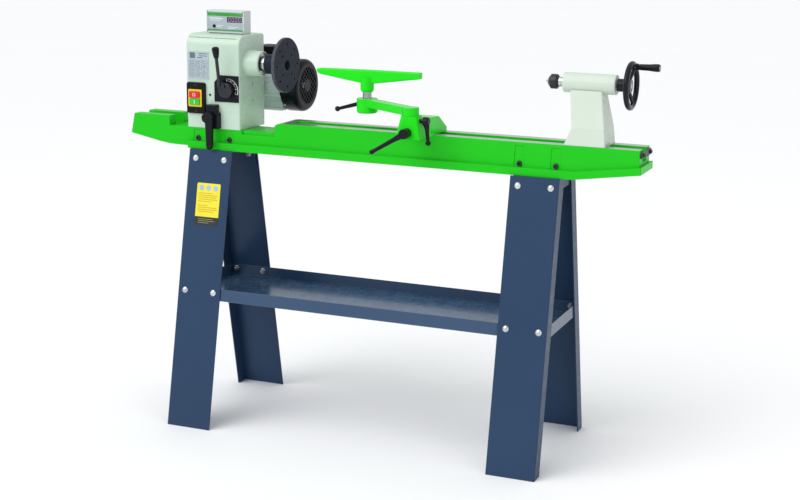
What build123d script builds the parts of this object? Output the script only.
from build123d import *
import math
import os

# Wood lathe on a sheet-steel stand.
# X runs along the bed (headstock at -X, tailstock at +X), -Y is the operator's side, +Z is up.
# z = 0 is the floor, y = 0 is the spindle axis, x = 0 is midway between the two pairs of legs.
# The finished solids are shifted by SHIFT_X and SHIFT_Y, so that the origin is the centre of the footprint.

os.makedirs("parts", exist_ok=True)

# ---- driving dimensions (millimetres) ----
SHIFT_X, SHIFT_Y = -12.25, -12.55
GAP = 0.3                      # clearance between pieces of different bodies

BED_L, BED_R = -736.0, 744.7   # ends of the bed casting
WAY_Z = 840.0                  # top of the ways
WAY_Y = 52.0                   # half width over the ways
SLOT_Y = 21.0                  # half width of the slot between the ways
BODY_R = 737.1                 # right-hand end of the ways
FLANGE_Y = 63.0                # half width of the rib along the lower edge
FLANGE_Z = 776.0               # top of that rib
BED_Z = 755.0                  # underside of the bed
WAY_UNDER = 812.0              # underside of the ways
SEAT_Z = 813.0                 # headstock seat
SEAT_X0, SEAT_X1 = -611.0, -281.0

LEG_X = 471.3                  # middle of each leg
LEG_W = 132.0                  # width of a leg
LEG_T = 3.0                    # sheet thickness
LEG_FL = 40.0                  # depth of the stiffening flange
LEG_Y_TOP, LEG_Y_FLOOR = 70.2, 214.4
SPLAY = (LEG_Y_FLOOR - LEG_Y_TOP) / BED_Z
TRAY_Z0, TRAY_Z1, TRAY_T = 349.0, 382.0, 1.5
BOLT_Z_TOP, BOLT_Z_TRAY = 731.0, 370.5
BOLT_DX = 44.3                 # leg bolts, either side of the leg's middle
BED_SCREW_DX = 49.0
BED_SCREW_Z = 784.0

AXIS_Z = 994.3                 # spindle axis
HS_X0, HS_X1 = -554.0, -388.0  # headstock housing
HS_Y0, HS_Y1 = -52.0, 88.0
HS_TOP = 1071.0
HS_CX = -471.0                 # swivel axis of the headstock
MOTOR_Y, MOTOR_Z = 165.0, 921.0
SHEAVE_X = -505.0

FP_R, FP_X = 75.0, -269.0      # faceplate radius and front face
BJ_X = 154.0                   # centre line of the banjo
PIVOT_Y = -130.0               # swing-arm pivot
CAM_Z = 858.0
ARM_Z0, ARM_Z1 = 900.3, 921.0
POST_X, POST_Y = -20.0, -20.0  # tool-rest post
REST_Z = 998.0

WHEEL_X = 696.0                # plane of the handwheel rim
CRANK_A = math.radians(54.6)
CRANK_R = 55.0


def leg_y(z):
    return LEG_Y_TOP + SPLAY * (BED_Z - z)


def save(piece, name):
    piece.part.label = name
    shifted = piece.part.moved(Location((SHIFT_X, SHIFT_Y, 0)))
    shifted.label = name
    export_step(shifted, f"parts/{name}.step")
    bb = shifted.bounding_box()
    print(f"{name:24s} {len(shifted.solids()):3d} solids  {shifted.volume/1000:10.1f} cm3")
    BOXES.append(bb)


BOXES = []

# =====================================================================
# Bed casting
# =====================================================================
with BuildPart() as bed:
    # main body with the two ways
    with BuildSketch(Plane.XZ.offset(-WAY_Y)):
        with BuildLine():
            Polyline(
                (BED_L + 11, WAY_Z), (SEAT_X0, WAY_Z), (SEAT_X0, SEAT_Z), (SEAT_X1, SEAT_Z),
                (SEAT_X1, WAY_Z - 6), (SEAT_X1 + 8, WAY_Z - 1.5), (SEAT_X1 + 20, WAY_Z), (BODY_R, WAY_Z),
                (BODY_R, 779), (567, BED_Z), (-546, BED_Z), (-549, 760.5), (-578, 760.5), (-610, 761.5),
                (-643, 766), (-692, 775.5), (BED_L, 784), (BED_L + 1, 791), (BED_L + 11, WAY_Z),
            )
        make_face()
    extrude(amount=2 * WAY_Y)
    fillet(bed.edges().filter_by(Axis.Z).filter_by(lambda e: abs(e.center().X - BODY_R) < 0.5), 2.5)
    # rib along the lower edge, rising with it at the right-hand end
    with BuildSketch(Plane.XZ.offset(-FLANGE_Y)):
        with BuildLine():
            Polyline(
                (-549, FLANGE_Z), (567, FLANGE_Z), (BED_R, FLANGE_Z + 23), (BED_R, 780), (567, BED_Z),
                (-546, BED_Z), (-549, 762), (-549, FLANGE_Z),
            )
        make_face()
    extrude(amount=2 * FLANGE_Y)
    fillet(bed.edges().filter_by(Axis.Z).filter_by(lambda e: abs(e.center().X - BED_R) < 0.5), 4)
    # slot between the ways, and the hollow under them
    with BuildSketch(Plane.XY.offset(WAY_UNDER - 0.5)):
        with Locations(((SEAT_X1 + 34 + BED_R + 5) / 2, 0)):
            Rectangle(BED_R + 5 - SEAT_X1 - 34, 2 * SLOT_Y)
        with Locations(((BED_L - 10 + SEAT_X0 + 8) / 2, 0)):
            Rectangle(SEAT_X0 + 8 - BED_L + 10, 2 * SLOT_Y)
    extrude(amount=40, mode=Mode.SUBTRACT)
    with BuildSketch(Plane.YZ.offset(-275)):
        with BuildLine():
            Polyline((-40, 750), (40, 750), (40, WAY_UNDER - 8), (32, WAY_UNDER), (-32, WAY_UNDER), (-40, WAY_UNDER - 8), (-40, 750))
        make_face()
    extrude(amount=BED_R - 14 + 275, mode=Mode.SUBTRACT)
    with BuildSketch(Plane.XY.offset(740)):
        with Locations((-365, 0)):
            RectangleRounded(150, 84, 6)
        with Locations((-540, 0)):
            RectangleRounded(130, 84, 6)
        with Locations((-663, 0)):
            RectangleRounded(92, 84, 6)
        with Locations((HS_CX, 0)):
            Circle(38)
    extrude(amount=SEAT_Z - 16 - 740, mode=Mode.SUBTRACT)
    # open right-hand end between the ways
    with BuildSketch(Plane.YZ.offset(BED_R + 1)):
        with Locations((0, 826)):
            Rectangle(2 * SLOT_Y, 40)
    extrude(amount=-20, mode=Mode.SUBTRACT)
    # ledge under the right-hand part of the headstock seat
    for side in (-1, 1):
        with BuildSketch(Plane.XY.offset(SEAT_Z - 10)):
            with Locations((-333, side * (WAY_Y + 1))):
                Rectangle(100, 12)
        extrude(amount=12, mode=Mode.SUBTRACT)
    # swivel bore for the headstock
    with Locations((HS_CX, 0, SEAT_Z)):
        Hole(radius=20.05, depth=80)
    # shallow pockets for the screws in both sides, above the rib
    for sx in (-1, 1):
        for dx in (-BED_SCREW_DX, BED_SCREW_DX):
            for sy in (-1, 1):
                xc = sx * LEG_X + dx
                zt = WAY_Z - 9 if sx > 0 else SEAT_Z - 5
                with BuildSketch(Plane.XZ.offset(-sy * (WAY_Y + 1))):
                    with BuildLine():
                        Polyline((xc - 12, zt), (xc + 12, zt), (xc + 15, FLANGE_Z), (xc - 15, FLANGE_Z), (xc - 12, zt))
                    make_face()
                extrude(amount=sy * 2.4, mode=Mode.SUBTRACT)
                with Locations(Location((xc, sy * (WAY_Y + 1), BED_SCREW_Z), (-90 * sy, 0, 0))):
                    CounterBoreHole(radius=4.3, counter_bore_radius=7.2, counter_bore_depth=6, depth=34)
    # holes for the screws of the end stop
    with BuildSketch(Plane.YZ.offset(BODY_R + 1)):
        with Locations((-34, 827), (34, 827)):
            Circle(3.05)
    extrude(amount=-17, mode=Mode.SUBTRACT)
    chamfer(bed.edges().filter_by(Axis.X).group_by(Axis.Z)[-1].filter_by(lambda e: e.length > 300), 1.0)
save(bed, "bed")

# =====================================================================
# Legs: bent sheet, an L in plan, sheared outwards towards the floor
# =====================================================================
LEG_TOP = BED_Z - 0.1


def leg_outline(sx, sy, z):
    """The L of one leg at height z: plate facing the user, flange on the outer edge."""
    y0 = sy * leg_y(z)
    xi, xo = sx * (LEG_X - LEG_W / 2), sx * (LEG_X + LEG_W / 2)
    t = LEG_T
    return [
        (xi, y0), (xo, y0), (xo, y0 - sy * LEG_FL), (xo - sx * t, y0 - sy * LEG_FL),
        (xo - sx * t, y0 - sy * t * 1.02), (xi, y0 - sy * t * 1.02), (xi, y0),
    ]


LEG_NORMAL = {-1: (0, -1, SPLAY), 1: (0, 1, SPLAY)}
BOLT_POINTS = []
for sx in (-1, 1):
    for dx in (-BOLT_DX, BOLT_DX):
        for z in (BOLT_Z_TOP, BOLT_Z_TRAY):
            BOLT_POINTS.append((sx, sx * LEG_X + dx, z))

for sx, xname in ((-1, "left"), (1, "right")):
    for sy, yname in ((-1, "front"), (1, "rear")):
        with BuildPart() as leg:
            with BuildSketch(Plane.XY):
                with BuildLine():
                    Polyline(*leg_outline(sx, sy, 0))
                make_face()
            with BuildSketch(Plane.XY.offset(LEG_TOP)):
                with BuildLine():
                    Polyline(*leg_outline(sx, sy, LEG_TOP))
                make_face()
            loft(ruled=True)
            corner = leg.edges().filter_by(lambda e: e.length > 500 and abs(e.center().X - sx * (LEG_X + LEG_W / 2)) < 0.5 and abs(abs(e.center().Y) - leg_y(LEG_TOP / 2)) < 1)
            fillet(corner, 2.6)
            # holes for the carriage bolts
            for bsx, bx, bz in BOLT_POINTS:
                if bsx == sx:
                    with BuildSketch(Plane(origin=(bx, sy * leg_y(bz), bz), z_dir=LEG_NORMAL[sy])):
                        Circle(4.4)
                    extrude(amount=8, both=True, mode=Mode.SUBTRACT)
        save(leg, f"leg_{yname}_{xname}")

# =====================================================================
# Leg brackets: folded saddles that close the stand under the bed
# =====================================================================
for sx, xname in ((-1, "left"), (1, "right")):
    with BuildPart() as bracket:
        # each saddle: top plate under the bed, two splayed cheeks and an outer end web
        x0, x1 = sorted((sx * (LEG_X - LEG_W / 2 + 6), sx * (LEG_X + LEG_W / 2 - LEG_T - 1)))
        with BuildSketch(Plane.YZ.offset(x0)):
            with BuildLine():
                yt = leg_y(BED_Z - 0.2) - LEG_T - 0.3
                yb = leg_y(690) - LEG_T - 0.3
                Polyline((-yt, BED_Z - 0.2), (yt, BED_Z - 0.2), (yb, 690), (yb - 4, 690), (yt - 4.5, BED_Z - 4.2),
                         (-yt + 4.5, BED_Z - 4.2), (-yb + 4, 690), (-yb, 690), (-yt, BED_Z - 0.2))
            make_face()
        extrude(amount=x1 - x0)
        xo = x1 if sx > 0 else x0
        with BuildSketch(Plane.YZ.offset(xo)):
            with BuildLine():
                Polyline((-yt, BED_Z - 0.2), (yt, BED_Z - 0.2), (yt + SPLAY * 30, BED_Z - 30), (-yt - SPLAY * 30, BED_Z - 30), (-yt, BED_Z - 0.2))
            make_face()
        extrude(amount=-4 * sx)
        for bsx, bx, bz in BOLT_POINTS:
            if bsx == sx and bz == BOLT_Z_TOP:
                for sy in (-1, 1):
                    with BuildSketch(Plane(origin=(bx, sy * leg_y(bz), bz), z_dir=LEG_NORMAL[sy])):
                        Circle(4.4)
                    extrude(amount=12, both=True, mode=Mode.SUBTRACT)
        # upright lugs inside the bed, which take the bed screws
        for sy in (-1, 1):
            for dx in (-BED_SCREW_DX, BED_SCREW_DX):
                with BuildSketch(Plane.XY.offset(BED_Z - 1)):
                    with Locations((sx * LEG_X + dx, sy * 33.5)):
                        Rectangle(20, 12)
                extrude(amount=40)
                with BuildSketch(Plane.XZ.offset(-sy * 45)):
                    with Locations((sx * LEG_X + dx, BED_SCREW_Z)):
                        Circle(4.05)
                extrude(amount=sy * 30, mode=Mode.SUBTRACT)
    save(bracket, f"leg_bracket_{xname}")

# =====================================================================
# Tray: folded sheet with a rim on all four sides
# =====================================================================
TRAY_X = LEG_X + LEG_W / 2 - LEG_T - 0.3


def tray_half(z):
    return leg_y(z) - LEG_T - 0.4


with BuildPart() as tray:
    with BuildSketch(Plane.XY.offset(TRAY_Z0)):
        Rectangle(2 * TRAY_X, 2 * tray_half(TRAY_Z0))
    with BuildSketch(Plane.XY.offset(TRAY_Z1)):
        Rectangle(2 * TRAY_X, 2 * tray_half(TRAY_Z1))
    loft(ruled=True)
    fillet(tray.edges().filter_by(lambda e: e.length > 1000).group_by(Axis.Z)[0], 2.4)
    with BuildSketch(Plane.XY.offset(TRAY_Z0 + TRAY_T)):
        Rectangle(2 * (TRAY_X - TRAY_T), 2 * (tray_half(TRAY_Z0 + TRAY_T) - TRAY_T))
    with BuildSketch(Plane.XY.offset(TRAY_Z1 + 1)):
        Rectangle(2 * (TRAY_X - TRAY_T), 2 * (tray_half(TRAY_Z1 + 1) - TRAY_T))
    loft(ruled=True, mode=Mode.SUBTRACT)
    for bsx, bx, bz in BOLT_POINTS:
        if bz == BOLT_Z_TRAY:
            for sy in (-1, 1):
                with BuildSketch(Plane(origin=(bx, sy * leg_y(bz), bz), z_dir=LEG_NORMAL[sy])):
                    Circle(4.4)
                extrude(amount=9, both=True, mode=Mode.SUBTRACT)
save(tray, "tray")

# =====================================================================
# Carriage bolts and nuts of the stand
# =====================================================================
with BuildPart() as leg_bolts:
    for bsx, bx, bz in BOLT_POINTS:
        for sy in (-1, 1):
            inner = 14.0 if bz == BOLT_Z_TOP else 11.5
            frame = Plane(origin=(bx, sy * leg_y(bz), bz), z_dir=LEG_NORMAL[sy], x_dir=(1, 0, 0))
            with BuildSketch(Plane(origin=frame.origin, x_dir=frame.x_dir, z_dir=frame.y_dir * -1)):
                with BuildLine():
                    Line((0, -inner - 6), (4, -inner - 6))
                    Line((4, -inner - 6), (4, 0.05))
                    Line((4, 0.05), (8.6, 0.05))
                    Line((8.6, 0.05), (8.6, 0.9))
                    ThreePointArc((8.6, 0.9), (5.2, 3.6), (0.6, 4.58))
                    Line((0.6, 4.58), (0, 4.58))
                    Line((0, 4.58), (0, -inner - 6))
                make_face()
            revolve(axis=Axis(frame.origin, frame.z_dir))
save(leg_bolts, "leg_bolts")

with BuildPart() as leg_nuts:
    for bsx, bx, bz in BOLT_POINTS:
        for sy in (-1, 1):
            inner = 8.1 if bz == BOLT_Z_TOP else 5.2
            origin = Vector(bx, sy * leg_y(bz), bz)
            normal = Vector(*LEG_NORMAL[sy]).normalized()
            with BuildSketch(Plane(origin=origin - normal * (inner + 0.2), z_dir=-normal, x_dir=(1, 0, 0))):
                Circle(8.2)
                Circle(4.05, mode=Mode.SUBTRACT)
            extrude(amount=1.4)
            with BuildSketch(Plane(origin=origin - normal * (inner + 1.6), z_dir=-normal, x_dir=(1, 0, 0))):
                RegularPolygon(radius=7.5, side_count=6)
                Circle(4.05, mode=Mode.SUBTRACT)
            extrude(amount=6.5)
save(leg_nuts, "leg_nuts")

# Socket screws: eight clamp the bed to its brackets, two hold the end stop
SCREWS = []
for sx in (-1, 1):
    for dx in (-BED_SCREW_DX, BED_SCREW_DX):
        for sy in (-1, 1):
            SCREWS.append((Vector(sx * LEG_X + dx, sy * (WAY_Y - 4.9), BED_SCREW_Z), Vector(0, sy, 0), 6.5, 8.0, 4.0, 24))
for y in (-34, 34):
    SCREWS.append((Vector(BODY_R + 6.3, y, 827), Vector(1, 0, 0), 5.0, 4.5, 3.0, 20))
with BuildPart() as bed_screws:
    for seat, out, head_r, head_l, shank_r, shank_l in SCREWS:
        with BuildSketch(Plane(origin=seat, z_dir=out)):
            Circle(head_r)
        extrude(amount=head_l)
        with BuildSketch(Plane(origin=seat, z_dir=out)):
            Circle(shank_r)
        extrude(amount=-shank_l)
        with BuildSketch(Plane(origin=seat + out * head_l, z_dir=out)):
            RegularPolygon(radius=head_r * 0.54, side_count=6)
        extrude(amount=-head_l * 0.6, mode=Mode.SUBTRACT)
save(bed_screws, "bed_screws")

# Bar across the right-hand end of the ways, which keeps the tailstock on the bed
with BuildPart() as end_stop:
    with BuildSketch(Plane.YZ.offset(BODY_R + 0.2)):
        with Locations((0, 827)):
            RectangleRounded(92, 16, 3)
            with Locations((-34, 0), (34, 0)):
                Circle(3.05, mode=Mode.SUBTRACT)
    extrude(amount=6)
save(end_stop, "end_stop")

# =====================================================================
# Headstock housing
# =====================================================================
HS_Z0 = SEAT_Z + GAP
with BuildPart() as headstock_housing:
    with BuildSketch(Plane.XY.offset(HS_Z0)):
        with Locations(((HS_X0 + 3 + HS_X1) / 2, (HS_Y0 + HS_Y1) / 2)):
            Rectangle(HS_X1 - HS_X0 - 3, HS_Y1 - HS_Y0)
    extrude(amount=HS_TOP - HS_Z0)
    # large radius along the front top edge, smaller ones elsewhere
    fillet(headstock_housing.edges().filter_by(Axis.X).group_by(Axis.Z)[-1].sort_by(Axis.Y)[0], 30)
    fillet(headstock_housing.edges().filter_by(Axis.X).group_by(Axis.Z)[-1].sort_by(Axis.Y)[-1], 9)
    fillet(headstock_housing.edges().group_by(Axis.X)[-1].filter_by(lambda e: e.center().Z > HS_Z0 + 2), 5)
    # spindle boss
    with BuildSketch(Plane.YZ.offset(HS_X1 - 2)):
        with Locations((0, AXIS_Z)):
            Circle(36.5)
    with BuildSketch(Plane.YZ.offset(-341)):
        with Locations((0, AXIS_Z)):
            Circle(34)
    loft()
    fillet(headstock_housing.edges().filter_by(GeomType.CIRCLE).group_by(Axis.X)[-1], 5)
    # hollow for the belt drive
    with BuildSketch(Plane.XY.offset(HS_Z0 + 20)):
        with Locations(((HS_X0 + HS_X1) / 2 - 4, (HS_Y0 + HS_Y1) / 2)):
            RectangleRounded(HS_X1 - HS_X0 - 8, HS_Y1 - HS_Y0 - 16, 6)
    extrude(amount=HS_TOP - 9 - HS_Z0 - 20, mode=Mode.SUBTRACT)
    # opening of the belt drive to the rear
    with BuildSketch(Plane.XZ.offset(-(HS_Y1 + 1))):
        with Locations((-508, 938)):
            Rectangle(74, 150)
    extrude(amount=12, mode=Mode.SUBTRACT)
    # bearing seats and spindle bore
    with BuildSketch(Plane.YZ.offset(-340)):
        with Locations((0, AXIS_Z)):
            Circle(31)
    extrude(amount=-23, mode=Mode.SUBTRACT)
    with BuildSketch(Plane.YZ.offset(-341.5)):
        with Locations((0, AXIS_Z)):
            Circle(24)
    extrude(amount=-60, mode=Mode.SUBTRACT)
    # inner web that carries the rear bearing
    with BuildSketch(Plane.YZ.offset(-544)):
        with Locations((12, AXIS_Z)):
            Rectangle(112, 84)
        with Locations((0, AXIS_Z)):
            Circle(31, mode=Mode.SUBTRACT)
    extrude(amount=16)
    # socket for the swivel post
    with BuildSketch(Plane.XY.offset(HS_Z0)):
        with Locations((HS_CX, 0)):
            Circle(14)
    extrude(amount=12, mode=Mode.SUBTRACT)
    # slots and screw recesses in the right-hand face
    with BuildSketch(Plane.YZ.offset(HS_X1 + 1)):
        with Locations(Location((20, 935, 0), (0, 0, -12))):
            SlotOverall(15, 4, rotation=90)
        with Locations((18, 888)):
            Circle(3)
    extrude(amount=-4, mode=Mode.SUBTRACT)
    with BuildSketch(Plane.XZ.offset(-(HS_Y0 - 1))):
        with Locations((-480, 906)):
            Circle(3)
    extrude(amount=-4, mode=Mode.SUBTRACT)
    # boss and bore for the shaft of the speed lever
    with BuildSketch(Plane.XZ.offset(-(HS_Y0 + 4))):
        with Locations((-424.0, 922.0)):
            Circle(14)
    extrude(amount=-10)
    with BuildSketch(Plane.XZ.offset(-(HS_Y0 - 1))):
        with Locations((-424.0, 922.0)):
            Circle(7.08)
    extrude(amount=-16, mode=Mode.SUBTRACT)
save(headstock_housing, "headstock_housing")

with BuildPart() as end_cover:
    with BuildSketch(Plane.YZ.offset(HS_X0)):
        with Locations(((HS_Y0 + HS_Y1) / 2, (HS_Z0 + HS_TOP) / 2)):
            RectangleRounded(HS_Y1 - HS_Y0 - 8, HS_TOP - HS_Z0 - 12, 24)
    extrude(amount=2.9)
    with BuildSketch(Plane.YZ.offset(HS_X0)):
        with Locations((HS_Y0 + 18, HS_Z0 + 18), (HS_Y1 - 18, HS_Z0 + 18), (HS_Y0 + 22, HS_TOP - 24), (HS_Y1 - 18, HS_TOP - 22)):
            Circle(5)
            Circle(2.2, mode=Mode.SUBTRACT)
    extrude(amount=-1.6)
    fillet(end_cover.faces().sort_by(Axis.X)[0].edges(), 0.5)
save(end_cover, "end_cover")

# Cast housing behind the headstock, which joins it to the motor
BH_X0, BH_X1, BH_Y1 = -549.0, -462.0, 222.0
with BuildPart() as belt_housing:
    with BuildSketch(Plane.YZ.offset(BH_X0)):
        with BuildLine():
            Polyline((HS_Y1 + 0.1, 849), (MOTOR_Y, 849), (BH_Y1, 880), (BH_Y1, 960), (MOTOR_Y + 12, 1000), (HS_Y1 + 0.1, 1022), (HS_Y1 + 0.1, 849))
        make_face()
    extrude(amount=BH_X1 - BH_X0)
    fillet(belt_housing.edges().filter_by(Axis.X).filter_by(lambda e: e.center().Y > HS_Y1 + 5), 16)
    fillet(belt_housing.faces().sort_by(Axis.X)[0].edges().filter_by(lambda e: e.center().Y > HS_Y1 + 1), 5)
    with BuildSketch(Plane.YZ.offset(BH_X0 + 6)):
        with BuildLine():
            Polyline((HS_Y1 - 2, 857), (MOTOR_Y, 857), (BH_Y1 - 8, 886), (BH_Y1 - 8, 955), (MOTOR_Y + 9, 992), (HS_Y1 - 2, 1014), (HS_Y1 - 2, 857))
        make_face()
    extrude(amount=BH_X1 - BH_X0 - 12, mode=Mode.SUBTRACT)
    # motor spigot
    with BuildSketch(Plane.YZ.offset(BH_X1 + 1)):
        with Locations((MOTOR_Y, MOTOR_Z)):
            Circle(30)
    extrude(amount=-10, mode=Mode.SUBTRACT)
save(belt_housing, "belt_housing")

with BuildPart() as swivel_post:
    with BuildSketch(Plane.XY.offset(758)):
        with Locations((HS_CX, 0)):
            Circle(20)
    extrude(amount=SEAT_Z - 758 + GAP - 0.05)
    with BuildSketch(Plane.XY.offset(HS_Z0 - 0.05)):
        with Locations((HS_CX, 0)):
            Circle(13.95)
    extrude(amount=11)
    # clamping nut and washer under the seat
    with BuildSketch(Plane.XY.offset(771)):
        with Locations((HS_CX, 0)):
            RegularPolygon(radius=27, side_count=6)
    extrude(amount=16)
    with BuildSketch(Plane.XY.offset(787)):
        with Locations((HS_CX, 0)):
            Circle(34)
    extrude(amount=9.6)
save(swivel_post, "swivel_post")

with BuildPart() as clamp_bracket:
    with BuildSketch(Plane.XZ.offset(-(HS_Y0 - 0.05))):
        with BuildLine():
            Polyline((-482, 836), (-482, 881), (-453, 881), (-453, 861), (-447, 857), (-447, 815), (-470, 815), (-482, 836))
        make_face()
    extrude(amount=20)
    fillet(clamp_bracket.faces().sort_by(Axis.Y)[0].edges(), 2.5)
    with BuildSketch(Plane.XZ.offset(-(HS_Y0 - 21))):
        with Locations((-468, 849)):
            Circle(6.1)
    extrude(amount=-20, mode=Mode.SUBTRACT)
save(clamp_bracket, "clamp_bracket")

with BuildPart() as headstock_clamp_lever:
    # hub with a short ear on the left and a long tapered handle hanging down
    with BuildSketch(Plane.XZ.offset(-(HS_Y0 - 20 - GAP))):
        with Locations((-468, 849)):
            Circle(13)
    extrude(amount=14)
    with BuildSketch(Plane.XZ.offset(-(HS_Y0 - 20 - GAP - 2))):
        with BuildLine():
            Polyline((-489, 850), (-487, 837), (-478, 832), (-476.5, 800), (-475.5, 766), (-472, 758), (-465, 758), (-459.5, 766), (-458.5, 800),
                     (-456, 838), (-456, 856), (-480, 860), (-489, 850))
        make_face()
    extrude(amount=11)
    chamfer(headstock_clamp_lever.edges().filter_by(Axis.Y).filter_by(lambda e: e.center().Z < 770 or e.center().X < -484), 1.8)
    with BuildSketch(Plane.XZ.offset(-(HS_Y0 - 20 - GAP))):
        with Locations((-468, 849)):
            Circle(6.05)
    extrude(amount=-16)
save(headstock_clamp_lever, "headstock_clamp_lever")

# ---- speed display on top of the housing ----
DX0, DX1, DY0, DY1, DZ0, DZ1 = -520.0, -401.0, 0.0, 38.0, HS_TOP, 1135.0
with BuildPart() as display_housing:
    with BuildSketch(Plane.XY.offset(DZ0 + 2.5)):
        with Locations(((DX0 + DX1) / 2, (DY0 + DY1) / 2)):
            Rectangle(DX1 - DX0, DY1 - DY0)
    extrude(amount=DZ1 - DZ0 - 2.5)
    fillet(display_housing.edges().filter_by(lambda e: e.center().Z > DZ0 + 3), 2.2)
    with BuildSketch(Plane.XY.offset(DZ0)):
        with Locations(((DX0 + DX1) / 2 + 2, (DY0 + DY1) / 2 + 2)):
            Rectangle(DX1 - DX0 - 8, DY1 - DY0 - 8)
    extrude(amount=3)
    with BuildSketch(Plane.XZ.offset(-(DY0 - 1))):
        with Locations(((DX0 + DX1) / 2, (DZ0 + DZ1) / 2 + 1)):
            Rectangle(DX1 - DX0 - 7, DZ1 - DZ0 - 11)
    extrude(amount=-31, mode=Mode.SUBTRACT)
save(display_housing, "display_housing")

with BuildPart() as display_panel:
    with BuildSketch(Plane.XZ.offset(-(DY0 + 0.4))):
        with Locations(((DX0 + DX1) / 2, (DZ0 + DZ1) / 2 + 1)):
            Rectangle(DX1 - DX0 - 7.2, DZ1 - DZ0 - 11.2)
        with Locations((-495, 1091)):
            Circle(4.8, mode=Mode.SUBTRACT)
    extrude(amount=-2)
save(display_panel, "display_panel")

with BuildPart() as display_button:
    with BuildSketch(Plane.XZ.offset(-(DY0 - 1.4))):
        with Locations((-495, 1091)):
            Circle(4.5)
    extrude(amount=-9)
    fillet(display_button.edges().group_by(Axis.Y)[0], 0.7)
save(display_button, "display_button")

with BuildPart() as nameplate:
    with BuildSketch(Plane.XZ.offset(-(HS_Y0 - 0.05))):
        with Locations((-515.5, 985.5)):
            RectangleRounded(66, 76, 2)
    extrude(amount=0.8)
save(nameplate, "nameplate")

# ---- push-button switch ----
SWX, SWZ = -521.8, 895.5
with BuildPart() as switch_plate:
    with BuildSketch(Plane.XZ.offset(-(HS_Y0 - 0.05))):
        with Locations((SWX, SWZ)):
            RectangleRounded(58, 86, 6)
    extrude(amount=7)
    fillet(switch_plate.faces().sort_by(Axis.Y)[0].outer_wire().edges(), 2)
    with BuildSketch(Plane.XZ.offset(-(HS_Y0 - 8))):
        with Locations((SWX - 2, SWZ + 9.6), (SWX - 2, SWZ - 10.4)):
            RectangleRounded(32.6, 17.6, 2)
    extrude(amount=-6, mode=Mode.SUBTRACT)
save(switch_plate, "switch_plate")

with BuildPart() as switch_frame:
    with BuildSketch(Plane.XZ.offset(-(HS_Y0 - 7.1))):
        with Locations((SWX - 1.5, SWZ)):
            RectangleRounded(42, 48, 3)
        with Locations((SWX - 2, SWZ + 9.6), (SWX - 2, SWZ - 10.4)):
            RectangleRounded(32.6, 17.6, 2, mode=Mode.SUBTRACT)
    extrude(amount=1.6)
    fillet(switch_frame.faces().sort_by(Axis.Y)[0].outer_wire().edges(), 0.6)
save(switch_frame, "switch_frame")

for name, dz, stand in (("stop_button", 9.6, 13.0), ("start_button", -10.4, 11.5)):
    with BuildPart() as button:
        with BuildSketch(Plane.XZ.offset(-(HS_Y0 - 5.6))):
            with Locations((SWX - 2, SWZ + dz)):
                RectangleRounded(32, 17, 1.8)
        extrude(amount=stand - 5.6)
        fillet(button.faces().sort_by(Axis.Y)[0].edges(), 1.2)
    save(button, name)

# ---- speed selector ----
HUBX, HUBZ = -424.0, 922.0
with BuildPart() as speed_dial:
    with BuildSketch(Plane.XZ.offset(-(HS_Y0 - 0.05))):
        with BuildLine():
            Polyline((-465, 889), (-390, 889), (-390, 962), (-448, 962), (-465, 942), (-465, 889))
        make_face()
    extrude(amount=3)
    fillet(speed_dial.edges().filter_by(Axis.Y), 1.5)
    fillet(speed_dial.faces().sort_by(Axis.Y)[0].edges(), 0.6)
    with BuildSketch(Plane.XZ.offset(-(HS_Y0 - 4))):
        with Locations((HUBX, HUBZ)):
            Circle(7.1)
    extrude(amount=-5, mode=Mode.SUBTRACT)
save(speed_dial, "speed_dial")

ROD0 = Vector(-437.5, -75, 941)
ROD1 = Vector(-436, -89, 1008)
with BuildPart() as speed_lever:
    with BuildSketch(Plane.XZ.offset(-(HS_Y0 - 3 - GAP - 0.05))):
        with Locations((HUBX, HUBZ)):
            Circle(21)
    extrude(amount=15)
    fillet(speed_lever.edges().group_by(Axis.Y)[0], 3)
    with BuildSketch(Plane.XZ.offset(-(HS_Y0 - 3 - GAP - 0.05))):
        with Locations((HUBX, HUBZ)):
            Circle(7)
    extrude(amount=-14)
    # ear that holds the rod
    with BuildSketch(Plane.XZ.offset(-(HS_Y0 - 9))):
        with BuildLine():
            l1 = Polyline((-445, 930), (-445, 944), (-440, 949), (-432, 949), (-424, 941), (-424, 930), (-445, 930))
        make_face()
    extrude(amount=13)
    with BuildSketch(Plane(origin=ROD0 - (ROD1 - ROD0).normalized() * 5, z_dir=ROD1 - ROD0)):
        Circle(4.6)
    extrude(amount=(ROD1 - ROD0).length + 12)
save(speed_lever, "speed_lever")

with BuildPart() as speed_lever_grip:
    d = (ROD1 - ROD0).normalized()
    base = ROD1 + d * 9 - d * 4
    side = d.cross(Vector(0, 1, 0)).normalized()
    with BuildSketch(Plane(origin=base, x_dir=side, z_dir=side.cross(d))):
        with BuildLine():
            Polyline((0, 0), (6.2, 0), (7.6, 5), (9.6, 19), (9.9, 25), (8.5, 29), (4.0, 31.0), (0, 31.0), (0, 0))
        make_face()
    revolve(axis=Axis(base, d))
    with BuildSketch(Plane(origin=base - d, z_dir=d)):
        Circle(4.62)
    extrude(amount=10, mode=Mode.SUBTRACT)
save(speed_lever_grip, "speed_lever_grip")

# =====================================================================
# Spindle and faceplate
# =====================================================================
with BuildPart() as spindle_bearings:
    for xb in (-362.5, -544):
        with BuildSketch(Plane.YZ.offset(xb)):
            with Locations((0, AXIS_Z)):
                Circle(30.98)
                Circle(15.0, mode=Mode.SUBTRACT)
        extrude(amount=16)
        for xf, depth in ((xb - 0.01, 2), (xb + 16.01, -2)):
            with BuildSketch(Plane.YZ.offset(xf)):
                with Locations((0, AXIS_Z)):
                    Circle(26)
                    Circle(19.5, mode=Mode.SUBTRACT)
            extrude(amount=depth, mode=Mode.SUBTRACT)
save(spindle_bearings, "spindle_bearings")

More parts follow.
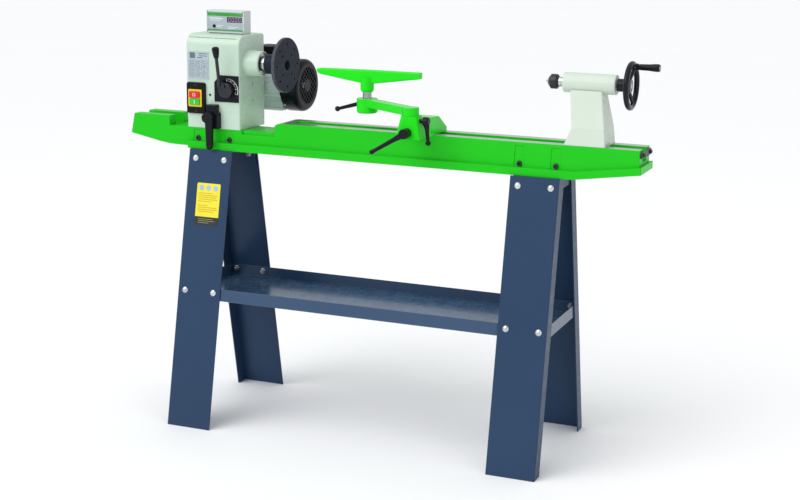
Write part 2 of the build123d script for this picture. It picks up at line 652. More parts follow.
with BuildPart() as spindle:
    with BuildSketch(Plane(origin=(0, 0, AXIS_Z), x_dir=(1, 0, 0), z_dir=(0, -1, 0))):
        with BuildLine():
            Polyline((-546, 0), (-546, 14.9), (-522, 14.9), (-522, 14), (-480, 14), (-480, 18), (-364, 18), (-364, 14.95), (-345, 14.95),
                     (-345, 20), (-340.6, 20), (-340.6, 22), (-328.2, 22), (-328.2, 16.5), (-284, 16.5), (-282, 14.5), (-282, 0), (-546, 0))
        make_face()
    revolve(axis=Axis((0, 0, AXIS_Z), (1, 0, 0)))
    # Morse No. 2 socket and through hole
    with BuildSketch(Plane(origin=(0, 0, AXIS_Z), x_dir=(1, 0, 0), z_dir=(0, -1, 0))):
        with BuildLine():
            Polyline((-281, 0), (-281, 8.93), (-282, 8.9), (-346, 7.3), (-346, 4.8), (-547, 4.8), (-547, 0), (-281, 0))
        make_face()
    revolve(axis=Axis((0, 0, AXIS_Z), (1, 0, 0)), mode=Mode.SUBTRACT)
save(spindle, "spindle")


def sheave(part_axis_y, part_axis_z, rim, root, bore, x_mid):
    """Half section of a one-groove sheave, as points (x, r)."""
    return [
        (x_mid - 14, bore), (x_mid - 14, rim - 6), (x_mid - 10.5, rim), (x_mid - 9.2, rim), (x_mid - 7.5, root),
        (x_mid + 7.5, root), (x_mid + 9.2, rim), (x_mid + 10.5, rim), (x_mid + 14, rim - 6), (x_mid + 14, bore), (x_mid - 14, bore),
    ]


SP_ROOT, SP_RIM = 29.5, 39.5
MO_ROOT, MO_RIM = 36.5, 46.5
with BuildPart() as spindle_sheave:
    with BuildSketch(Plane(origin=(0, 0, AXIS_Z), x_dir=(1, 0, 0), z_dir=(0, -1, 0))):
        with BuildLine():
            Polyline(*sheave(0, AXIS_Z, SP_RIM, SP_ROOT, 14.02, SHEAVE_X))
        make_face()
    revolve(axis=Axis((0, 0, AXIS_Z), (1, 0, 0)))
save(spindle_sheave, "spindle_sheave")

with BuildPart() as faceplate:
    with BuildSketch(Plane(origin=(0, 0, AXIS_Z), x_dir=(1, 0, 0), z_dir=(0, -1, 0))):
        with BuildLine():
            Polyline((-328.1, 16.55), (-328.1, 27), (-284, 27), (-279, 31), (-279, FP_R - 1.2), (-277.8, FP_R), (FP_X - 1.2, FP_R), (FP_X, FP_R - 1.2),
                     (FP_X, 13.6), (-281.5, 13.6), (-281.5, 16.55), (-328.1, 16.55))
        make_face()
    revolve(axis=Axis((0, 0, AXIS_Z), (1, 0, 0)))
    with BuildSketch(Plane.YZ.offset(FP_X + 1)):
        with Locations((0, AXIS_Z)):
            with PolarLocations(58, 8):
                Circle(3.3)
            with PolarLocations(36, 4, start_angle=45):
                Circle(3.3)
    extrude(amount=-20, mode=Mode.SUBTRACT)
    # two flats' worth of tommy-bar holes in the hub
    with BuildSketch(Plane.XY.offset(AXIS_Z)):
        with Locations((-312, 0)):
            Circle(4)
    extrude(amount=28, mode=Mode.SUBTRACT)
save(faceplate, "faceplate")

# =====================================================================
# Motor and belt
# =====================================================================
BELT_W = 13.6


def belt_outline(r_top, r_motor):
    """Tangent line ends of an open belt round the two sheaves, in Y and Z."""
    dy, dz = MOTOR_Y - 0, MOTOR_Z - AXIS_Z
    dist = math.hypot(dy, dz)
    base = math.atan2(dz, dy)
    a = math.acos((r_top - r_motor) / dist)
    pts = []
    for s in (1, -1):
        ang = base + s * a
        pts.append(((r_top * math.cos(ang), AXIS_Z + r_top * math.sin(ang)), (MOTOR_Y + r_motor * math.cos(ang), MOTOR_Z + r_motor * math.sin(ang))))
    far_top = (-r_top * math.cos(base), AXIS_Z - r_top * math.sin(base))
    far_motor = (MOTOR_Y + r_motor * math.cos(base), MOTOR_Z + r_motor * math.sin(base))
    return pts, far_top, far_motor


with BuildPart() as drive_belt:
    for k, (r1, r2) in enumerate(((SP_RIM - 0.6, MO_RIM - 0.6), (SP_ROOT + 0.5, MO_ROOT + 0.5))):
        pts, ft, fm = belt_outline(r1, r2)
        with BuildSketch(Plane.YZ.offset(SHEAVE_X - BELT_W / 2)):
            with BuildLine():
                Line(pts[0][0], pts[0][1])
                ThreePointArc(pts[0][1], fm, pts[1][1])
                Line(pts[1][1], pts[1][0])
                ThreePointArc(pts[1][0], ft, pts[0][0])
            make_face()
        extrude(amount=BELT_W, mode=Mode.ADD if k == 0 else Mode.SUBTRACT)
save(drive_belt, "drive_belt")

MOTOR_PLANE = Plane(origin=(0, MOTOR_Y, MOTOR_Z), x_dir=(1, 0, 0), z_dir=(0, -1, 0))
MOTOR_AXIS = Axis((0, MOTOR_Y, MOTOR_Z), (1, 0, 0))

with BuildPart() as motor_sheave:
    with BuildSketch(MOTOR_PLANE):
        with BuildLine():
            Polyline(*sheave(0, 0, MO_RIM, MO_ROOT, 9.52, SHEAVE_X))
        make_face()
    revolve(axis=MOTOR_AXIS)
save(motor_sheave, "motor_sheave")

with BuildPart() as motor_body:
    with BuildSketch(MOTOR_PLANE):
        with BuildLine():
            Polyline((BH_X1 - 5, 10.2), (BH_X1 - 5, 29.9), (BH_X1 + 0.1, 29.9), (BH_X1 + 0.1, 57), (BH_X1 + 6, 60), (-349, 60), (-347, 57), (-343, 57), (-343, 12),
                     (-349, 12), (-349, 53), (BH_X1 + 8, 53), (BH_X1 + 8, 10.2), (BH_X1 - 5, 10.2))
        make_face()
    revolve(axis=MOTOR_AXIS)
    # shallow cooling ribs along the frame
    with BuildSketch(Plane.YZ.offset(BH_X1 + 14)):
        with Locations((MOTOR_Y, MOTOR_Z)):
            with PolarLocations(60.4, 30):
                Rectangle(3.0, 2.2)
    extrude(amount=92)
    # foot rail under the frame
    with BuildSketch(Plane.XY.offset(850)):
        with Locations(((BH_X1 - 350) / 2 + 6, MOTOR_Y)):
            Rectangle(100, 92)
    extrude(amount=7)
    with BuildSketch(Plane.XY.offset(856.9)):
        with Locations(((BH_X1 - 350) / 2 + 6, MOTOR_Y - 34), ((BH_X1 - 350) / 2 + 6, MOTOR_Y + 34)):
            Rectangle(96, 6)
    extrude(amount=20)
    with BuildSketch(Plane.YZ.offset(BH_X1 + 8)):
        with Locations((MOTOR_Y, MOTOR_Z)):
            Circle(53)
    extrude(amount=-349 - BH_X1 - 8, mode=Mode.SUBTRACT)
save(motor_body, "motor_body")

FC_X0, FC_X1, FC_R = -345.0, -292.0, 74.5
with BuildPart() as fan_cover:
    with BuildSketch(MOTOR_PLANE):
        with BuildLine():
            Line((FC_X0, 57.2), (FC_X0, FC_R - 4))
            ThreePointArc((FC_X0, FC_R - 4), (FC_X0 + 1.2, FC_R - 1.2), (FC_X0 + 4, FC_R))
            Line((FC_X0 + 4, FC_R), (FC_X1 - 14, FC_R))
            ThreePointArc((FC_X1 - 14, FC_R), (FC_X1 - 4.1, FC_R - 4.1), (FC_X1, FC_R - 14))
            Line((FC_X1, FC_R - 14), (FC_X1, 52))
            Line((FC_X1, 52), (FC_X1 - 2.2, 52))
            Line((FC_X1 - 2.2, 52), (FC_X1 - 2.2, FC_R - 14.2))
            ThreePointArc((FC_X1 - 2.2, FC_R - 14.2), (FC_X1 - 5.8, FC_R - 5.9), (FC_X1 - 14.2, FC_R - 2.2))
            Line((FC_X1 - 14.2, FC_R - 2.2), (FC_X0 + 4, FC_R - 2.2))
            Line((FC_X0 + 4, FC_R - 2.2), (FC_X0 + 2.2, FC_R - 4))
            Line((FC_X0 + 2.2, FC_R - 4), (FC_X0 + 2.2, 57.2))
            Line((FC_X0 + 2.2, 57.2), (FC_X0, 57.2))
        make_face()
    revolve(axis=MOTOR_AXIS)
    # diamond lattice over the air intake
    with BuildSketch(Plane.YZ.offset(FC_X1 - 2.2)) as lattice:
        with Locations((MOTOR_Y, MOTOR_Z)):
            for k in range(-6, 7):
                for a in (45, -45):
                    with Locations(Location((k * 11.5 * math.cos(math.radians(a + 90)), k * 11.5 * math.sin(math.radians(a + 90)), 0), (0, 0, a))):
                        Rectangle(150, 2.0)
            Circle(18)
            Circle(52.5, mode=Mode.INTERSECT)
    extrude(amount=1.6)
save(fan_cover, "fan_cover")

with BuildPart() as motor_shaft:
    with BuildSketch(MOTOR_PLANE):
        with BuildLine():
            Polyline((-524, 0), (-524, 9.5), (BH_X1 - 4, 9.5), (BH_X1 - 4, 10.15), (BH_X1 + 12, 10.15), (BH_X1 + 12, 44), (-354, 44), (-354, 9.5), (-306, 9.5), (-306, 0), (-524, 0))
        make_face()
    revolve(axis=MOTOR_AXIS)
save(motor_shaft, "motor_shaft")

with BuildPart() as motor_fan:
    with BuildSketch(Plane.YZ.offset(-326)):
        with Locations((MOTOR_Y, MOTOR_Z)):
            Circle(60)
            Circle(9.55, mode=Mode.SUBTRACT)
    extrude(amount=2.5)
    with BuildSketch(Plane.YZ.offset(-326)):
        with Locations((MOTOR_Y, MOTOR_Z)):
            Circle(17)
            Circle(9.55, mode=Mode.SUBTRACT)
    extrude(amount=16)
    with BuildSketch(Plane.YZ.offset(-324)):
        with Locations((MOTOR_Y, MOTOR_Z)):
            with PolarLocations(38, 9):
                Rectangle(44, 2.4)
    extrude(amount=16)
save(motor_fan, "motor_fan")

with BuildPart() as capacitor_box:
    with BuildSketch(Plane.XY.offset(984)):
        with Locations((-397, MOTOR_Y)):
            RectangleRounded(90, 74, 5)
    extrude(amount=46)
    fillet(capacitor_box.faces().sort_by(Axis.Z)[-1].edges(), 3)
    with BuildSketch(Plane.XY.offset(982.9)):
        with Locations((-397, MOTOR_Y)):
            Rectangle(50, 24)
    extrude(amount=2.5)
save(capacitor_box, "capacitor_box")

with BuildPart() as cable_gland:
    with BuildSketch(Plane.XZ.offset(-(MOTOR_Y + 37.05))):
        with Locations((-420, 1006)):
            RegularPolygon(radius=11, side_count=6)
    extrude(amount=-5)
    with BuildSketch(Plane.XZ.offset(-(MOTOR_Y + 42))):
        with Locations((-420, 1006)):
            Circle(9)
    extrude(amount=-9)
    with BuildSketch(Plane.XZ.offset(-(MOTOR_Y + 52))):
        with Locations((-420, 1006)):
            Circle(3.8)
    extrude(amount=12, mode=Mode.SUBTRACT)
save(cable_gland, "cable_gland")

# =====================================================================
# Banjo
# =====================================================================
with BuildPart() as banjo:
    # body over the ways, with a sloping rear
    with BuildSketch(Plane.YZ.offset(BJ_X - 30)):
        with BuildLine():
            Polyline((-78, WAY_Z + GAP), (47, WAY_Z + GAP), (47, 852), (-8, 886), (-78, 890), (-78, WAY_Z + GAP))
        make_face()
    extrude(amount=60)
    fillet(banjo.edges().filter_by(Axis.X).filter_by(lambda e: e.center().Z > 850 and e.center().Y > -70), 5)
    fillet(banjo.edges().filter_by(Axis.Z).filter_by(lambda e: e.center().Y > 40), 5)
    # nose in front of the bed
    with BuildSketch(Plane.XY.offset(WAY_Z + 1)):
        with Locations((BJ_X, -112)):
            RectangleRounded(70, 88, 9)
    with BuildSketch(Plane.XY.offset(ARM_Z0 - 0.1)):
        with Locations((BJ_X, -128)):
            RectangleRounded(46, 46, 14)
    loft()
    # cam shaft bore, clamp slot and pivot hole
    with BuildSketch(Plane.XZ.offset(160)):
        with Locations((BJ_X, CAM_Z)):
            Circle(8.05)
    extrude(amount=-200, mode=Mode.SUBTRACT)
    with BuildSketch(Plane.XY.offset(WAY_Z)):
        with Locations((BJ_X, -12)):
            RectangleRounded(28, 96, 8)
    extrude(amount=36, mode=Mode.SUBTRACT)
    with BuildSketch(Plane.XY.offset(ARM_Z0 + 1)):
        with Locations((BJ_X, PIVOT_Y)):
            Circle(10.05)
    extrude(amount=-34, mode=Mode.SUBTRACT)
    with BuildSketch(Plane.YZ.offset(BJ_X + 40)):
        with Locations((PIVOT_Y, 887)):
            Circle(5.1)
    extrude(amount=-34, mode=Mode.SUBTRACT)
save(banjo, "banjo")

with BuildPart() as banjo_clamp_bolt:
    # eye round the cam shaft, shank, plate under the ways and nut
    with BuildSketch(Plane.XY.offset(WAY_Z + 4)):
        with Locations((BJ_X, -2)):
            RectangleRounded(25, 18, 4)
    extrude(amount=29)
    with BuildSketch(Plane.XY.offset(782)):
        with Locations((BJ_X, -2)):
            Circle(7)
    extrude(amount=64)
    with BuildSketch(Plane.XY.offset(WAY_UNDER - GAP - 12)):
        with Locations((BJ_X, -2)):
            RectangleRounded(60, 58, 5)
    extrude(amount=12)
    with BuildSketch(Plane.XY.offset(WAY_UNDER - GAP - 25)):
        with Locations((BJ_X, -2)):
            RegularPolygon(radius=12, side_count=6)
    extrude(amount=13)
    with BuildSketch(Plane.XZ.offset(30)):
        with Locations((BJ_X, CAM_Z)):
            Circle(8.4)
    extrude(amount=-60, mode=Mode.SUBTRACT)
save(banjo_clamp_bolt, "banjo_clamp_bolt")

CAM_END = Vector(61.0, -173, 803.0)
CAM_HUB = Vector(BJ_X, -173, CAM_Z)
with BuildPart() as banjo_cam_lever:
    with BuildSketch(Plane.XZ.offset(156.4)):
        with Locations((BJ_X, CAM_Z)):
            Circle(8)
    extrude(amount=-96)
    with BuildSketch(Plane.XZ.offset(60.5)):
        with Locations((BJ_X, CAM_Z + 1.4)):
            Circle(6.4)
    extrude(amount=-91)
    with BuildSketch(Plane.XZ.offset(-30)):
        with Locations((BJ_X, CAM_Z)):
            Circle(8)
    extrude(amount=-8)
    with BuildSketch(Plane.XZ.offset(156.4)):
        with Locations((BJ_X, CAM_Z)):
            Circle(13)
    extrude(amount=26)
    fillet(banjo_cam_lever.edges().group_by(Axis.Y)[0], 3)
    d = (CAM_END - CAM_HUB).normalized()
    with BuildSketch(Plane(origin=CAM_HUB, x_dir=d, z_dir=d.cross(Vector(0, 1, 0)))):
        with BuildLine():
            Line((0, 0), (0, 8.5))
            Line((0, 8.5), (14, 8.2))
            Line((14, 8.2), (30, 6.2))
            Line((30, 6.2), (92, 5.0))
            Spline((92, 5.0), (102, 6.0), (108, 5.2), (110.5, 0.01), tangents=((1, 0.05), (0, -1)))
            Line((110.5, 0.01), (110.5, 0))
            Line((110.5, 0), (0, 0))
        make_face()
    revolve(axis=Axis(CAM_HUB, d))
save(banjo_cam_lever, "banjo_cam_lever")

# =====================================================================
# Swing arm with the post holder
# =====================================================================
ARM_V = Vector(POST_X - BJ_X, POST_Y - PIVOT_Y, 0)
with BuildPart() as swing_arm:
    with BuildSketch(Plane.XY.offset(ARM_Z0)):
        with Locations((BJ_X, PIVOT_Y)):
            Circle(21)
    extrude(amount=ARM_Z1 - ARM_Z0 + 0.6)
    fillet(swing_arm.edges().group_by(Axis.Z)[-1], 1.5)
    with BuildSketch(Plane.XY.offset(883)):
        with Locations((POST_X, POST_Y)):
            Circle(28)
    extrude(amount=38.5)
    chamfer(swing_arm.edges().group_by(Axis.Z)[0], 3)
    fillet(swing_arm.edges().filter_by(GeomType.CIRCLE).filter_by(lambda e: e.center().Z > 921.2 and e.radius > 25), 1.5)
    with BuildSketch(Plane.XY.offset(ARM_Z0)):
        with Locations(Location(((BJ_X + POST_X) / 2, (PIVOT_Y + POST_Y) / 2, 0), (0, 0, math.degrees(math.atan2(ARM_V.Y, ARM_V.X))))):
            Rectangle(ARM_V.length - 30, 32)
    extrude(amount=ARM_Z1 - ARM_Z0 - 0.3)
    # pivot pin that hangs into the banjo
    with BuildSketch(Plane.XY.offset(ARM_Z0 + 0.5)):
        with Locations((BJ_X, PIVOT_Y)):
            Circle(10)
    extrude(amount=-31)
    # bore for the post, and the clamp screw's hole
    with BuildSketch(Plane.XY.offset(880)):
        with Locations((POST_X, POST_Y)):
            Circle(12.05)
    extrude(amount=50, mode=Mode.SUBTRACT)
    RC_DIR = Vector(-0.582, 0.813, 0).normalized()
    with BuildSketch(Plane(origin=Vector(POST_X, POST_Y, 905) + RC_DIR * 14, z_dir=RC_DIR)):
        Circle(4.1)
    extrude(amount=30, mode=Mode.SUBTRACT)
save(swing_arm, "swing_arm")


def ball_lever(origin, screw_dir, arm_dir, arm_len, screw_len, hub_r, hub_len, lean):
    """Frames of a clamp lever: screw along screw_dir, arm leaving the hub, ball at the end."""
    hub_mid = origin + screw_dir * (hub_len / 2)
    tip = hub_mid + arm_dir * arm_len + screw_dir * lean
    return hub_mid, tip


# lever that clamps the swing arm's pivot, on the right of the banjo's nose
AC_O = Vector(BJ_X + 31.5, PIVOT_Y, 887)
AC_TIP = Vector(BJ_X + 31.5 + 17, PIVOT_Y - 1, 832)
with BuildPart() as arm_clamp_lever:
    with BuildSketch(Plane(origin=AC_O, z_dir=(1, 0, 0))):
        Circle(6.5)
    extrude(amount=9)
    with BuildSketch(Plane(origin=AC_O + Vector(4, 0, 0), z_dir=(1, 0, 0))):
        Circle(11.5)
    extrude(amount=15)
    fillet(arm_clamp_lever.edges().group_by(Axis.X)[-1], 4)
    with BuildSketch(Plane(origin=AC_O, z_dir=(-1, 0, 0))):
        Circle(5)
    extrude(amount=19)
    d = (AC_TIP - (AC_O + Vector(11, 0, 0))).normalized()
    ln = (AC_TIP - (AC_O + Vector(11, 0, 0))).length
    with BuildSketch(Plane(origin=AC_O + Vector(11, 0, 0), x_dir=d, z_dir=d.cross(Vector(0, 1, 0)))):
        with BuildLine():
            Line((0, 0), (0, 8.0))
            Line((0, 8.0), (13, 7.2))
            Line((13, 7.2), (22, 5.4))
            Line((22, 5.4), (ln - 5.44, 4.4))
            ThreePointArc((ln - 5.44, 4.4), (ln, 7.0), (ln + 6.96, 0.75))
            Line((ln + 6.96, 0.75), (ln + 6.96, 0))
            Line((ln + 6.96, 0), (0, 0))
        make_face()
    revolve(axis=Axis(AC_O + Vector(11, 0, 0), d))
save(arm_clamp_lever, "arm_clamp_lever")

# lever that clamps the post in its holder
RC_O = Vector(POST_X, POST_Y, 905) + RC_DIR * 28.6
RC_SIDE = Vector(-RC_DIR.Y, RC_DIR.X, 0)
RC_ARM = (RC_SIDE * math.cos(math.radians(12.5)) + Vector(0, 0, -math.sin(math.radians(12.5)))).normalized()
with BuildPart() as rest_clamp_lever:
    with BuildSketch(Plane(origin=RC_O, z_dir=RC_DIR)):
        Circle(9)
    extrude(amount=22)
    hub_c = RC_O + RC_DIR * 13
    with BuildSketch(Plane(origin=RC_O, z_dir=RC_DIR * -1)):
        Circle(4)
    extrude(amount=13)
    with BuildSketch(Plane(origin=hub_c, x_dir=RC_ARM, z_dir=RC_ARM.cross(Vector(0, 0, 1)).normalized())):
        with BuildLine():
            Line((0, 0), (0, 8.0))
            Line((0, 8.0), (12, 7.4))
            Line((12, 7.4), (24, 5.6))
            Line((24, 5.6), (68.6, 4.4))
            ThreePointArc((68.6, 4.4), (74.3, 7.2), (81.46, 0.75))
            Line((81.46, 0.75), (81.46, 0))
            Line((81.46, 0), (0, 0))
        make_face()
    revolve(axis=Axis(hub_c, RC_ARM))
save(rest_clamp_lever, "rest_clamp_lever")

with BuildPart() as rest_post:
    with BuildSketch(Plane.XY.offset(884)):
        with Locations((POST_X, POST_Y)):
            Circle(12)
    extrude(amount=72)
    chamfer(rest_post.edges().filter_by(GeomType.CIRCLE), 1)
save(rest_post, "rest_post")

with BuildPart() as tool_rest:
    with BuildSketch(Plane.XZ.offset(-(POST_Y + 10))):
        with BuildLine():
            Polyline((-158, REST_Z - 2.5), (-20, REST_Z - 0.3), (134, REST_Z), (134, REST_Z - 17), (128, REST_Z - 18), (6, REST_Z - 35.5), (-42, REST_Z - 35.5),
                     (-155, REST_Z - 18.5), (-163, REST_Z - 14), (-165, REST_Z - 8), (-163, REST_Z - 4), (-158, REST_Z - 2.5))
        make_face()
    extrude(amount=20)
    # bead along the top edge, and a leaning front face
    fillet(tool_rest.edges().filter_by(lambda e: e.center().Z > REST_Z - 3 and abs(e.tangent_at(0.5).X) > 0.9), 4.5)
    fillet(tool_rest.edges().filter_by(lambda e: e.center().Z < REST_Z - 16 and e.length > 40 and abs(e.tangent_at(0.5).X) > 0.9), 4)
    # round neck for the post
    with BuildSketch(Plane.XY.offset(944)):
        with Locations((POST_X, POST_Y)):
            Circle(18)
    extrude(amount=34)
    with BuildSketch(Plane.XY.offset(938)):
        with Locations((POST_X, POST_Y)):
            Circle(14)
    with BuildSketch(Plane.XY.offset(944)):
        with Locations((POST_X, POST_Y)):
            Circle(18)
    loft()
    with BuildSketch(Plane.XY.offset(930)):
        with Locations((POST_X, POST_Y)):
            Circle(12.05)
    extrude(amount=26.4, mode=Mode.SUBTRACT)
save(tool_rest, "tool_rest")

# =====================================================================
# Tailstock
# =====================================================================
with BuildPart() as tailstock_casting:
    with BuildSketch(Plane.XY.offset(WAY_Z + GAP)):
        with Locations(((538 + 647) / 2, 0)):
            RectangleRounded(109, 100, 4)
    with BuildSketch(Plane.XY.offset(885)):
        with Locations(((556 + 643) / 2, 0)):
            RectangleRounded(87, 94, 4)
    loft(ruled=True)
    with BuildSketch(Plane.XY.offset(885)):
        with Locations(((556 + 643) / 2, 0)):
            RectangleRounded(87, 94, 4)
    with BuildSketch(Plane.XY.offset(978)):
        with Locations(((543.5 + 627.5) / 2, 0)):
            RectangleRounded(84, 48, 4)
    loft(ruled=True)
    with BuildSketch(Plane.YZ.offset(522)):
        with Locations((0, AXIS_Z)):
            Circle(25.7)
    extrude(amount=138)
    fillet(tailstock_casting.edges().filter_by(GeomType.CIRCLE).filter_by(lambda e: e.radius > 25 and (abs(e.center().X - 522) < 1 or abs(e.center().X - 660) < 1)), 2.5)
    # tongue between the ways
    with BuildSketch(Plane.XY.offset(WAY_Z + 1)):
        with Locations((592, 0)):
            Rectangle(96, 2 * (SLOT_Y - GAP))
    extrude(amount=-18)
    # bore for the quill
    with BuildSketch(Plane.YZ.offset(521)):
        with Locations((0, AXIS_Z)):
            Circle(12.55)
    extrude(amount=131, mode=Mode.SUBTRACT)
    with BuildSketch(Plane.YZ.offset(645)):
        with Locations((0, AXIS_Z)):
            Circle(8.1)
    extrude(amount=20, mode=Mode.SUBTRACT)
    # lock-screw hole, cam hole and bolt hole
    with BuildSketch(Plane.XZ.offset(-40)):
        with Locations((536, AXIS_Z)):
            Circle(4.1)
    extrude(amount=32, mode=Mode.SUBTRACT)
    with BuildSketch(Plane.XZ.offset(-60)):
        with Locations((598, 862)):
            Circle(7.1)
    extrude(amount=96, mode=Mode.SUBTRACT)
    with BuildSketch(Plane.XY.offset(820)):
        with Locations((598, 0)):
            RectangleRounded(24, 24, 4)
    extrude(amount=56, mode=Mode.SUBTRACT)
    # cast recess at the foot of the right-hand side
    with BuildSketch(Plane.YZ.offset(648)):
        with Locations((-22, 842)):
            Rectangle(34, 12)
    extrude(amount=-3, mode=Mode.SUBTRACT)
save(tailstock_casting, "tailstock_casting")

with BuildPart() as tailstock_clamp_bolt:
    with BuildSketch(Plane.XY.offset(845)):
        with Locations((598, 0)):
            RectangleRounded(23, 18, 3)
    extrude(amount=29)
    with BuildSketch(Plane.XY.offset(784)):
        with Locations((598, 0)):
            Circle(6)
    extrude(amount=62)
    with BuildSketch(Plane.XY.offset(WAY_UNDER - GAP - 10)):
        with Locations((598, 0)):
            RectangleRounded(76, 58, 5)
    extrude(amount=10)
    with BuildSketch(Plane.XY.offset(WAY_UNDER - GAP - 21)):
        with Locations((598, 0)):
            RegularPolygon(radius=11, side_count=6)
    extrude(amount=11)
    with BuildSketch(Plane.XZ.offset(20)):
        with Locations((598, 862)):
            Circle(7.4)
    extrude(amount=-40, mode=Mode.SUBTRACT)
save(tailstock_clamp_bolt, "tailstock_clamp_bolt")

with BuildPart() as tailstock_clamp_lever:
    with BuildSketch(Plane.XZ.offset(34)):
        with Locations((598, 862)):
            Circle(7.05)
    extrude(amount=-86.5)
    with BuildSketch(Plane.XZ.offset(-52)):
        with Locations((598, 862)):
            Circle(12)
    extrude(amount=-20)
    fillet(tailstock_clamp_lever.edges().group_by(Axis.Y)[-1], 3)
    TL_O, TL_D = Vector(598, 62, 862), Vector(-0.2, 0.12, 1).normalized()
    with BuildSketch(Plane(origin=TL_O, x_dir=TL_D, z_dir=TL_D.cross(Vector(0, 1, 0)).normalized())):
        with BuildLine():
            Polyline((0, 0), (0, 8.0), (12, 7.6), (26, 5.6), (84, 4.6), (92, 6.0), (98, 5.6), (101, 3.0), (101.5, 0), (0, 0))
        make_face()
    revolve(axis=Axis(TL_O, TL_D))
save(tailstock_clamp_lever, "tailstock_clamp_lever")

with BuildPart() as quill:
    with BuildSketch(Plane(origin=(0, 0, AXIS_Z), x_dir=(1, 0, 0), z_dir=(0, -1, 0))):
        with BuildLine():
            Polyline((507.2, 8.92), (507.2, 11.5), (508.2, 12.5), (650, 12.5), (650, 7.0), (568, 7.0), (568, 7.4), (507.2, 8.92))
        make_face()
    revolve(axis=Axis((0, 0, AXIS_Z), (1, 0, 0)))
save(quill, "quill")

with BuildPart() as live_centre_body:
    with BuildSketch(Plane(origin=(0, 0, AXIS_Z), x_dir=(1, 0, 0), z_dir=(0, -1, 0))):
        with BuildLine():
            Polyline((481, 7.55), (481, 11.5), (482.5, 13.5), (487.5, 19), (502.5, 19), (506.9, 14.5), (506.9, 8.85), (560, 7.5), (560, 0), (496, 0), (496, 7.55), (481, 7.55))
        make_face()
    revolve(axis=Axis((0, 0, AXIS_Z), (1, 0, 0)))
save(live_centre_body, "live_centre_body")

with BuildPart() as live_centre_point:
    with BuildSketch(Plane(origin=(0, 0, AXIS_Z), x_dir=(1, 0, 0), z_dir=(0, -1, 0))):
        with BuildLine():
            Polyline((472, 0), (472.3, 0.5), (479.6, 9.5), (480.7, 9.5), (480.7, 7.5), (495.6, 7.5), (495.6, 0), (472, 0))
        make_face()
    revolve(axis=Axis((0, 0, AXIS_Z), (1, 0, 0)))
save(live_centre_point, "live_centre_point")

with BuildPart() as leadscrew:
    with BuildSketch(Plane(origin=(0, 0, AXIS_Z), x_dir=(1, 0, 0), z_dir=(0, -1, 0))):
        with BuildLine():
            Polyline((562, 0), (562, 5.9), (563, 6.95), (651.5, 6.95), (651.5, 8.0), (661, 8.0), (661, 7), (697, 7), (697, 0), (562, 0))
        make_face()
    revolve(axis=Axis((0, 0, AXIS_Z), (1, 0, 0)))
save(leadscrew, "leadscrew")

with BuildPart() as handwheel:
    # hub and dished centre
    with BuildSketch(Plane(origin=(0, 0, AXIS_Z), x_dir=(1, 0, 0), z_dir=(0, -1, 0))):
        with BuildLine():
            Polyline((662.5, 7.05), (662.5, 16.5), (679, 16.5), (684, 19.5), (694, 19.5), (696, 17.5), (696, 7.05), (662.5, 7.05))
        make_face()
    revolve(axis=Axis((0, 0, AXIS_Z), (1, 0, 0)))
    # rim
    with BuildSketch(Plane(origin=(0, 0, AXIS_Z), x_dir=(1, 0, 0), z_dir=(0, -1, 0))):
        with Locations((WHEEL_X, 54.5)):
            Ellipse(7.2, 7.8)
    revolve(axis=Axis((0, 0, AXIS_Z), (1, 0, 0)))
    # three spokes, one of which carries the crank
    for k in range(3):
        ang = CRANK_A + k * 2 * math.pi / 3
        u = Vector(0, math.cos(ang), math.sin(ang))
        with BuildSketch(Plane(origin=Vector(688, 0, AXIS_Z) + u * 14, z_dir=u)):
            Ellipse(7.5, 5)
        with BuildSketch(Plane(origin=Vector(WHEEL_X - 0.5, 0, AXIS_Z) + u * 52, z_dir=u)):
            Ellipse(6, 4.2)
        loft()
    with BuildSketch(Plane.YZ.offset(WHEEL_X - 7)):
        with Locations((CRANK_R * math.cos(CRANK_A), AXIS_Z + CRANK_R * math.sin(CRANK_A))):
            Circle(9)
    extrude(amount=15)
    with BuildSketch(Plane.YZ.offset(WHEEL_X - 8)):
        with Locations((CRANK_R * math.cos(CRANK_A), AXIS_Z + CRANK_R * math.sin(CRANK_A))):
            Circle(4.02)
    extrude(amount=20, mode=Mode.SUBTRACT)
save(handwheel, "handwheel")

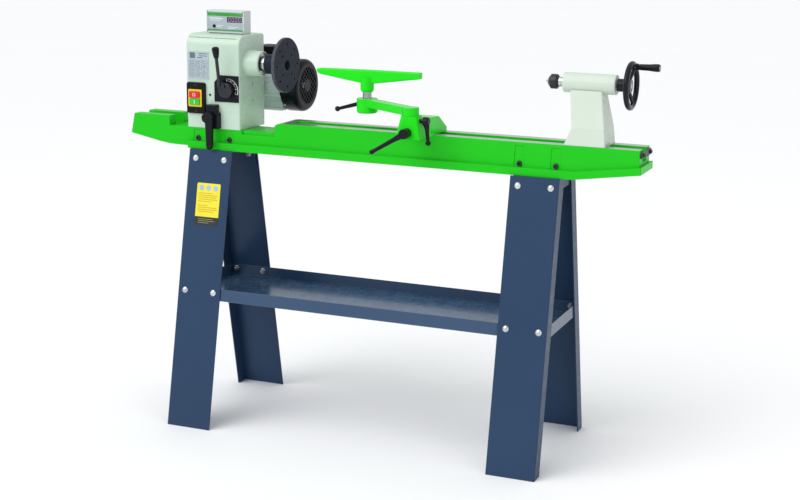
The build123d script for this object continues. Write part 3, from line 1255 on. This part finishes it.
CR_O = Vector(0, CRANK_R * math.cos(CRANK_A), AXIS_Z + CRANK_R * math.sin(CRANK_A))
with BuildPart() as crank_pin:
    with BuildSketch(Plane(origin=CR_O, x_dir=(1, 0, 0), z_dir=(0, -1, 0))):
        with BuildLine():
            Polyline((690, 0), (690, 4), (756.5, 4), (756.5, 6.5), (760, 6.5), (760, 0), (690, 0))
        make_face()
    revolve(axis=Axis(CR_O, (1, 0, 0)))
save(crank_pin, "crank_pin")

with BuildPart() as crank_handle:
    with BuildSketch(Plane(origin=CR_O, x_dir=(1, 0, 0), z_dir=(0, -1, 0))):
        with BuildLine():
            Line((704.4, 4.06), (704.4, 7.2))
            Spline((704.4, 7.2), (712, 7.8), (735, 8.6), (754, 9.9), (758.5, 9.4))
            Line((758.5, 9.4), (760.5, 8.2))
            Line((760.5, 8.2), (760.5, 6.8))
            Line((760.5, 6.8), (756.2, 6.8))
            Line((756.2, 6.8), (756.2, 4.06))
            Line((756.2, 4.06), (704.4, 4.06))
        make_face()
    revolve(axis=Axis(CR_O, (1, 0, 0)))
save(crank_handle, "crank_handle")

# lever behind the barrel that locks the quill
QL_O = Vector(536, 26.1, AXIS_Z)
with BuildPart() as quill_lock_lever:
    with BuildSketch(Plane(origin=QL_O, z_dir=(0, 1, 0))):
        Circle(7.5)
    extrude(amount=14)
    with BuildSketch(Plane(origin=QL_O, z_dir=(0, -1, 0))):
        Circle(4.05)
    extrude(amount=13)
    QD = Vector(0.35, 0.25, -1).normalized()
    with BuildSketch(Plane(origin=QL_O + Vector(0, 9, 0), x_dir=QD, z_dir=QD.cross(Vector(0, 1, 0)).normalized())):
        with BuildLine():
            Polyline((0, 0), (0, 6.4), (10, 5.6), (36, 4.0), (42, 5.8), (46, 5.2), (48, 2.6), (48.3, 0), (0, 0))
        make_face()
    revolve(axis=Axis(QL_O + Vector(0, 9, 0), QD))
save(quill_lock_lever, "quill_lock_lever")

lo = [min(b.min.X for b in BOXES), min(b.min.Y for b in BOXES), min(b.min.Z for b in BOXES)]
hi = [max(b.max.X for b in BOXES), max(b.max.Y for b in BOXES), max(b.max.Z for b in BOXES)]
print("low ", [round(v, 2) for v in lo])
print("high", [round(v, 2) for v in hi])
print("box centre", [round((a + b) / 2, 2) for a, b in zip(lo, hi)])
